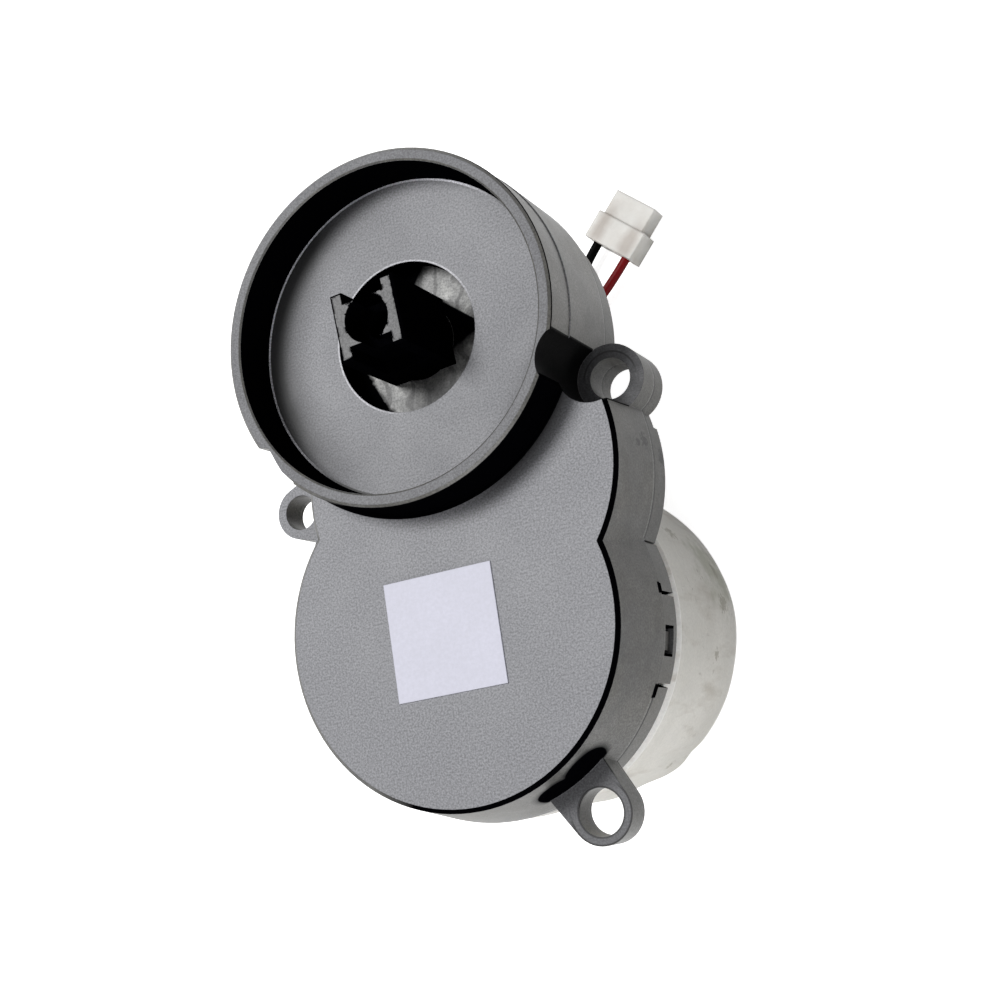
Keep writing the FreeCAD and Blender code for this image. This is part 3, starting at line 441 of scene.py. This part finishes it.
def front_regions(g, tone):
    cup = g.radius((0.0, 0.0))
    ear = g.radius(EAR)
    motor = g.radius(MOTOR)
    tone = shade_cup(g, tone, cup)
    tone = shade_right_ear(g, tone, ear)
    tone = shade_walls(g, tone, cup)
    tone = shade_lower_ear(g, tone)
    tone = g.marked(tone, SCUFFS, 0.95, SCUFF_BLACK)
    turn = g.math("ARCTAN2", g.math("SUBTRACT", g.y, MOTOR[1]), g.x)
    # Painted shade on the flat sill inside the lead window
    sill_shade = g.both(g.flat, g.below(g.z, -9.5), sector(g, turn, -16.9, -9.4))
    tone = g.paint(tone, sill_shade, rgb(0.035, 0.035, 0.034), 0.85)

    # Painted shade, turned near black: the cup's inner wall and the hole's wall, the outer chamfers and
    # the cup's outer wall toward the lobes, the ear's pocket, the slots and their feet, and the corner at
    # the foot of the cup's wall
    inner = g.both(g.below(cup, 15.7), g.upright, g.above(g.z, -1.75), g.above(ear, 3.3))
    toward = g.above(g.along(0.82, -0.57, (g.nx, g.ny)), 0.05, 0.10)
    slanted = g.both(g.above(g.nz, 0.5, 0.05), g.below(g.nz, 0.86, 0.03))
    bevel = g.both(slanted, toward, g.above(cup, 15.8), g.below(g.z, 4.28))
    pocket_shade = g.both(g.below(ear, 3.3), g.upright, g.above(g.z, -4.98))
    facing_lobes = g.above(g.along(0.17, -0.98), 8.2, 1.5)
    foot_shade = g.both(g.between(cup, 16.3, 16.95), g.above(g.nz, 0.3, 0.1), facing_lobes)
    foot_shade = g.both(foot_shade, g.between(g.z, FACE_LOW, 1.3))
    outer = g.both(g.between(cup, 16.2, 17.3), g.upright, g.between(g.z, -0.3, 4.25), facing_lobes)
    # Painted shadow at the lower ear's root
    root_shadow = g.math("MINIMUM", *(g.distance(spot) for spot in ROOT_SHADOW_SPOTS))
    root_shadow = g.both(g.spread(root_shadow, 3.0, 2.2), g.upright, g.above(g.z, -5.3, 0.2))
    slots_shade = g.both(tongue_zone(g), g.below(g.z, -8.0), g.invert(outward(g, motor)))
    slots_shade = g.math("SUBTRACT", slots_shade, sill_shade, True)
    slot_feet_shade = g.either(sector(g, turn, -30.4, -26.0), sector(g, turn, 0.5, 4.0))
    slot_feet_shade = g.both(slot_feet_shade, g.above(motor, 14.0), g.between(g.z, -8.1, -7.55))
    pocket_shade = g.math("MULTIPLY", pocket_shade, 0.965)
    return tone, g.either(inner, bevel, pocket_shade, outer, slots_shade, foot_shade, slot_feet_shade, root_shadow)


def sector(g, turn, first, last):
    return g.between(turn, radians(first), radians(last), 0.003)


def tongue_zone(g):
    """The part of the lower lobe's wall that carries the snap tongue and its skirt."""
    return g.both(g.above(g.x, 10.0), g.between(g.y, -35.9, -21.95))


def outward(g, motor):
    """The faces that look away from the motor's axis."""
    gap = [g.math("SUBTRACT", value, at) for value, at in zip((g.x, g.y), MOTOR)]
    facing = g.math("ADD", *(g.math("MULTIPLY", a, b) for a, b in zip(gap, (g.nx, g.ny))))
    return g.above(g.math("DIVIDE", facing, motor), 0.5, 0.1)


def cover_regions(g, tone):
    motor = g.radius(MOTOR)
    # Painted shade on the hook inside the window
    hook_shade = g.both(tongue_zone(g), g.below(motor, 16.9))
    tone = g.paint(tone, hook_shade, rgb(0.16, 0.16, 0.155), 0.35)
    # Painted light on the lower right walls
    lit_low_right = g.both(g.below(g.y, -36.0, 2.0), g.upright)
    tone = g.paint(tone, lit_low_right, rgb(0.22, 0.22, 0.215), 0.35)
    tone = g.marked(tone, SCUFFS, 0.95, SCUFF_BLACK)
    # Painted shade in the window, on the slots' sides and on the ledges below the seam
    slot = g.both(g.below(motor, 16.25), g.above(g.z, COVER_LOW))
    sides = g.both(tongue_zone(g), g.invert(outward(g, motor)), g.above(g.z, COVER_LOW))
    return tone, g.either(slot, sides, g.both(g.flat, g.below(g.z, -8.05)))


def output_regions(g, tone):
    """The post's worn top, and the gear's face with painted light, its grease and the post's painted
    shadow; the post's sides take painted shade.
    """
    tip = g.both(g.flat, g.above(g.z, 7.0))
    wheel = g.both(g.flat, g.below(g.z, GEAR_LEVEL), g.above(g.radius((0.0, 0.0)), 3.6))
    # The post's painted shadow on the gear's face, with the hole edge's painted shadow above and below it
    along = g.along(0.809, -0.588)
    across = g.along(0.588, 0.809)
    edge = g.math("ADD", across, g.levelled(g.noise(900, 3.0), -0.25, 0.25))
    low = g.above(g.plus(edge, along, -0.178), -3.87, 0.12)
    slant = g.above(g.plus(edge, along, -1.58), -5.9, 1.2)
    top_line = g.plus(across, along, 0.075)
    shade = g.both(low, slant, g.below(top_line, 4.43, 0.06))
    upper = g.both(g.above(top_line, 4.43), g.below(along, -2.5, 0.6))
    lower = g.below(g.plus(along, edge, 1.77), -11.85, 0.5)
    shade = g.both(g.either(shade, upper, lower), wheel)
    # A lighter painted shade beyond the post's shadow
    half_shade = g.both(g.spread(along, 0.8, 3.0), g.below(across, -0.5, 2.0), wheel)

    wave = {"Vector": g.place, "Scale": 150.0, "Distortion": 9.0, "Detail": 3.0, "Detail Scale": 1.4}
    strands = g.add("ShaderNodeTexWave", wave).outputs["Fac"]
    grease = g.both(g.spread(strands, 0.55, 0.95), wheel, g.spread(g.noise(260, 2.0), 0.42, 0.60))
    # Painted light on the gear's face, then its grease
    tone = g.paint(tone, wheel, rgb(0.36, 0.36, 0.35), 0.6)
    tone = g.paint(tone, grease, rgb(0.80, 0.80, 0.77), 0.80)
    tone = g.paint(tone, g.both(g.spread(strands, 0.22, 0.05), wheel), rgb(0.05, 0.05, 0.05), 0.65)
    tone = g.paint(tone, half_shade, DARK_GREY, 0.62)
    tone = g.paint(tone, tip, rgb(0.03, 0.03, 0.031), 0.55)
    inside = g.rounded(0.40, 8)[1]
    ragged = g.both(tip, g.spread(inside, 0.999, 0.96), g.spread(g.noise(1500, 2.0), 0.50, 0.54))
    # Painted shade on the post's sides, everywhere but its top and the gear's face, and its worn ragged
    # edges
    return tone, g.either(g.invert(g.either(tip, wheel)), shade, ragged)


def plug_material():
    """Milky nylon with two darker patches where the contacts show through."""
    g = Graph("plug_plastic")
    x, y = g.axes(g.place, 1000.0)[:2]
    patches = g.noise(300, 4.0)
    tone = g.mix(g.levelled(patches), rgb(0.56, 0.54, 0.50), rgb(0.74, 0.73, 0.70))
    for route, far in ((BLACK_ROUTE, 5.4), (RED_ROUTE, 4.8)):
        gap = [g.math("SUBTRACT", value, at) for value, at in zip((x, y), route[-1])]
        ahead = g.along(0.687, 0.727, gap)
        aside = g.math("ABSOLUTE", g.along(0.727, -0.687, gap))
        aside = g.math("ADD", aside, g.levelled(patches, -0.25, 0.25))
        patch = g.both(g.spread(aside, 1.15, 0.25), g.spread(ahead, -0.9, 0.6))
        patch = g.both(patch, g.spread(ahead, far, far - 2.6))
        tone = g.paint(tone, patch, rgb(0.30, 0.245, 0.20), 0.70)
    g.join(tone, "Base Color")
    g.join(g.levelled(patches, 0.34, 0.46), "Roughness")
    g.join(g.bump(patches, 0.05 * MM, 0.7, g.worn_edges(0.25)[0]), "Normal")
    g.join(0.5, "Subsurface Weight")
    g.join((0.0016, 0.0015, 0.0014), "Subsurface Radius")
    g.join(1.0, "Subsurface Scale")
    return g.material


looks = {
    "housing_plastic": moulded_black("housing_plastic", front_regions),
    "cover_plastic": moulded_black("cover_plastic", cover_regions),
    "output_plastic": moulded_black("output_plastic", output_regions, GEAR),
    "plug_plastic": plug_material(),
}
SMOOTH = dict(grain=2600, grain_depth=0.004)
FINISHES = {
    "gear_nylon": dict(colour=(0.70, 0.69, 0.63), rough=0.38, speckle=0.04, wear=1.2),
    "steel": dict(colour=(0.55, 0.55, 0.56), rough=0.28, metallic=1.0, grain=3000, grain_depth=0.003),
    "can_steel": dict(colour=(0.50, 0.50, 0.51), rough=0.36, metallic=1.0, grain=1800, grain_depth=0.004),
    "brass": dict(colour=(0.72, 0.52, 0.22), rough=0.30, metallic=1.0, grain=3200, grain_depth=0.003),
    "copper": dict(colour=(0.62, 0.25, 0.11), rough=0.34, metallic=1.0, grain=2600, grain_depth=0.010),
    "magnet": dict(colour=(0.06, 0.06, 0.065), rough=0.62, grain=3600, grain_depth=0.008),
    "washer": dict(colour=(0.62, 0.61, 0.56), rough=0.40, wear=1.2),
    "cap_plastic": dict(colour=(0.66, 0.65, 0.60), rough=0.44, wear=1.2),
    "carbon": dict(colour=(0.035, 0.035, 0.036), rough=0.55, grain=4200),
    "contact": dict(colour=(0.72, 0.72, 0.72), rough=0.22, metallic=1.0, grain=2600, grain_depth=0.002),
    "lead_black": dict(colour=(0.0006, 0.0006, 0.0006), rough=0.55, specular=0.03, **SMOOTH),
    "lead_red": dict(colour=(0.19, 0.004, 0.006), rough=0.45, specular=0.12, **SMOOTH),
    "boot_rubber": dict(colour=(0.50, 0.50, 0.48), rough=0.50, speckle=0.05, wear=1.2),
    "label": dict(colour=(0.60, 0.60, 0.69), rough=0.60, speckle=0.05, wear=1.1, **SMOOTH),
}
for name, settings in FINISHES.items():
    looks[name] = finish_material(name, **settings)

slot_of = {part["node"]: part["material_slot"] for part in frame["record"]["subparts"]}
for name, node in nodes.items():
    node.data.materials.clear()
    node.data.materials.append(looks[slot_of[name]])
soft_edges = nodes["plug_housing"].modifiers.new("soft_edges", "BEVEL")
soft_edges.width = 0.16 * MM
soft_edges.segments = 3
soft_edges.limit_method = "ANGLE"
soft_edges.angle_limit = radians(40)
for piece, key in ((black_lead, "lead_black"), (red_lead, "lead_red")):
    piece.data.materials.append(looks[key])

# The soft boot over the motor, in millimetres and degrees

BOOT_RADIUS = 16.58
BOOT_BORE = 15.42
BOOT_FLOOR = -31.72
BEAD_TOP = -12.0
BEAD_LOW = -13.65
BEAD_HEIGHT = 1.65
END_BEND = -31.0
END_ROUND = 2.0
END_RINGS = ((14.2, -33.0), (9.0, -32.98), (3.0, -32.96))
FLOOR_RADII = (15.1, 9.0, 3.0)
LEAD_WINDOW = (94.8, 114.9)
WINDOW_TOP = -29.75
WINDOW_LOW = -31.55
BOOT_LEVELS = (-11.84, BEAD_TOP, -12.3, -12.7, -13.1, -13.5, BEAD_LOW, -14.0, -15.0, -17.0, -19.0,
               -21.0, -23.0, -25.0, -27.0, -28.6, WINDOW_TOP, -30.5, END_BEND, WINDOW_LOW,
               -32.0, -32.4, -32.73, -32.93)
# Each dent's angle, height and width; a height above nought is a bulge
DENTS = (
    (-53.0, -0.20, 3.5),
    (-74.0, -0.45, 9.0),
    (8.0, 0.42, 48.0),
    (48.0, 0.05, 8.0),
    (150.0, -0.12, 14.0),
)


def boot_radius(angle, z):
    """Outside radius of the boot, with the dents and ripple of a soft moulding."""
    if z > BEAD_TOP:
        base = 16.62
    elif z > BEAD_LOW:
        base = 16.55 + 0.80 * sin(pi * (z - BEAD_LOW) / BEAD_HEIGHT)
    elif z > END_BEND:
        base = BOOT_RADIUS
    else:
        base = 14.58 + END_ROUND * cos(asin(min(1.0, (END_BEND - z) / END_ROUND)))
    softness = max(0.0, min(1.0, (-16.0 - z) / 9.0))
    dents = 0.0
    for centre, height, width in DENTS:
        turn = (angle - centre + 180) % 360 - 180
        dents += height * exp(-((turn / width) ** 2))
    ripple = 0.05 * sin(radians(angle * 5 + z * 9)) + 0.04 * sin(radians(angle * 11 - z * 14))
    return base + softness * (dents + ripple * 0.8)


def boot_mesh():
    angles = [a * 2.5 for a in range(144) if min(abs(a * 2.5 - w) for w in LEAD_WINDOW) > 1.0]
    angles = sorted(angles + list(LEAD_WINDOW))
    mesh = bmesh.new()

    def ring(z, radius=None):
        corners = []
        for angle in angles:
            turn = radians(angle)
            reach = boot_radius(angle, z) if radius is None else radius
            x, y = MOTOR[0] + reach * cos(turn), MOTOR[1] + reach * sin(turn)
            corners.append(mesh.verts.new((x * MM, y * MM, z * MM)))
        return corners

    outer = [ring(z) for z in BOOT_LEVELS]
    inner = [ring(z, BOOT_BORE) for z in BOOT_LEVELS if z >= WINDOW_LOW]
    under = [ring(z, radius) for radius, z in END_RINGS]
    floor = [ring(BOOT_FLOOR, radius) for radius in FLOOR_RADII]
    first, last = (angles.index(angle) for angle in LEAD_WINDOW)
    top, low = BOOT_LEVELS.index(WINDOW_TOP), BOOT_LEVELS.index(WINDOW_LOW)

    def strip(upper, lower, skip=False, flip=False):
        for i in range(len(angles)):
            if skip and first <= i < last:
                continue
            j = (i + 1) % len(angles)
            corners = [upper[i], upper[j], lower[j], lower[i]]
            mesh.faces.new(corners[::-1] if flip else corners)

    for rows, flip in ((outer, True), (inner, False)):
        for k in range(len(rows) - 1):
            strip(rows[k], rows[k + 1], top <= k < low, flip)
    strip(outer[0], inner[0])
    strip(outer[-1], under[0], flip=True)
    strip(inner[-1], floor[0])
    for rows, flip in ((under, True), (floor, False)):
        for k in range(len(rows) - 1):
            strip(rows[k], rows[k + 1], flip=flip)
        mesh.faces.new(rows[-1] if flip else rows[-1][::-1])
    # The four sides of the window
    for i in range(first, last):
        mesh.faces.new((outer[top][i], outer[top][i + 1], inner[top][i + 1], inner[top][i]))
        mesh.faces.new((outer[low][i], inner[low][i], inner[low][i + 1], outer[low][i + 1]))
    for k in range(top, low):
        mesh.faces.new((outer[k][first], inner[k][first], inner[k + 1][first], outer[k + 1][first]))
        mesh.faces.new((outer[k][last], outer[k + 1][last], inner[k + 1][last], inner[k][last]))
    bmesh.ops.recalc_face_normals(mesh, faces=mesh.faces)
    data = bpy.data.meshes.new("boot_cup")
    mesh.to_mesh(data)
    mesh.free()
    shade_smooth(data, 50)
    return data


BOOT_MARKS = (
    ((16.93, -26.42, -27.75), (700.0, 1000.0, 900.0)),
    ((16.4, -22.8, -28.6), (1000.0, 1100.0, 1600.0)),
    ((16.36, -31.62, -24.8), (1000.0, 1800.0, 1800.0)),
    ((8.85, -41.65, -27.52), (1600.0, 1600.0, 1400.0)),
    ((15.04, -19.38, -21.57), (1100.0, 1500.0, 900.0)),
)
STAIN = (15.8, -23.3, -27.5)


def boot_material():
    """Milky soft plastic with painted highlights at its lip and end, and greenish and brown smudges."""
    g = Graph("boot_milky")
    z = g.axes(g.place, 1000.0)[2]
    patches = g.noise(95, 5.0, 0.6)
    fine = g.noise(3800, 2.0)
    tone = g.mix(g.levelled(patches), rgb(0.60, 0.585, 0.54), rgb(0.76, 0.745, 0.70))
    # Painted highlights on the bead at the lip and on the rounded end
    lip_highlight = g.either(g.above(z, -13.9, 0.5), g.below(z, -30.9, 0.15))
    tone = g.paint(tone, lip_highlight, rgb(0.93, 0.92, 0.90), 0.75)
    upright = {"Vector": g.place, "Scale": (1.0, 1.0, 0.28)}
    stretched = g.add("ShaderNodeMapping", upright).outputs["Vector"]
    streaks = g.spread(g.noise(330, 4.0, 0.6, stretched), 0.54, 0.70)
    tone = g.paint(tone, streaks, rgb(0.40, 0.36, 0.30), 0.50)
    near = g.math("ADD", g.distance(STAIN), g.levelled(g.noise(520, 4.0), -2.2, 2.2))
    spots = g.both(g.spread(g.noise(1300, 4.0, 0.7), 0.60, 0.70), g.spread(g.noise(210, 2.0), 0.48, 0.62))
    tone = g.paint(tone, spots, rgb(0.20, 0.17, 0.13), 0.55)
    tone = g.paint(tone, g.spread(near, 4.6, 1.4), rgb(0.33, 0.34, 0.25), 0.60)
    tone = g.marked(tone, BOOT_MARKS, 0.60, rgb(0.24, 0.22, 0.16))
    tone = g.speckled(tone, fine, 0.05)
    g.join(tone, "Base Color")
    g.join(g.levelled(patches, 0.36, 0.52), "Roughness")
    g.join(g.bump(g.noise(420, 3.0), 0.05 * MM, 0.6), "Normal")
    g.join(0.35, "Subsurface Weight")
    g.join((0.0012, 0.0011, 0.0010), "Subsurface Radius")
    g.join(1.0, "Subsurface Scale")
    return g.material


boot = link("boot_cup", boot_mesh())
boot.data.materials.append(boot_material())
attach(boot, "casing")
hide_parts("motor_boot")

# Floor, lamps and surroundings

WHITE = rgb(1, 1, 1)


def make_floor():
    mesh = bmesh.new()
    bmesh.ops.create_grid(mesh, x_segments=8, y_segments=8, size=1.5)
    data = bpy.data.meshes.new("floor")
    mesh.to_mesh(data)
    mesh.free()
    piece = link("floor", data)
    piece.location = (0, 0, FLOOR * MM)
    g = Graph("floor_paper")
    g.join(rgb(0.88, 0.88, 0.88), "Base Color")
    g.join(0.9, "Roughness")
    g.join(g.bump(g.noise(900), 0.01 * MM), "Normal")
    ray = g.add("ShaderNodeLightPath").outputs
    seen = g.math("MULTIPLY", g.either(ray["Is Camera Ray"], ray["Is Transmission Ray"]), 0.82)
    glow = {"Color": WHITE, "Strength": g.plus(seen, ray["Is Glossy Ray"], 0.20)}
    light = g.add("ShaderNodeEmission", glow).outputs[0]
    surface = g.add("ShaderNodeAddShader", {0: g.shader.outputs[0], 1: light}).outputs[0]
    g.feed(g.tree.nodes["Material Output"].inputs["Surface"], surface)
    data.materials.append(g.material)


def make_lamp(name, place, aim, size, watts):
    lamp = bpy.data.lights.new(name, "AREA")
    lamp.size = size
    lamp.energy = watts
    piece = link(name, lamp)
    piece.location = place
    piece.rotation_euler = (Vector(aim) - Vector(place)).to_track_quat("-Z", "Y").to_euler()


def make_world():
    """A white surrounding that lights the object by a fifth of what the camera sees."""
    world = bpy.data.worlds.new("studio")
    scene.world = world
    world.use_nodes = True
    tree = Tree(world.node_tree)
    background = world.node_tree.nodes["Background"]
    ray = tree.add("ShaderNodeLightPath").outputs
    seen = tree.math("MAXIMUM", ray["Is Camera Ray"], ray["Is Transmission Ray"])
    seen = tree.math("MAXIMUM", seen, ray["Is Glossy Ray"])
    tree.feed(background.inputs["Color"], WHITE)
    tree.feed(background.inputs["Strength"], tree.spread(seen, 0.0, 1.0, 0.20, 1.0))


make_floor()
make_lamp("key", (-0.175, 0.127, 0.408), (0, -0.012, 0), 0.15, 1.80)
make_lamp("fill", (0.08, -0.36, 0.12), (0, -0.02, -0.01), 0.25, 0.74)
make_world()

bpy.context.view_layer.update()
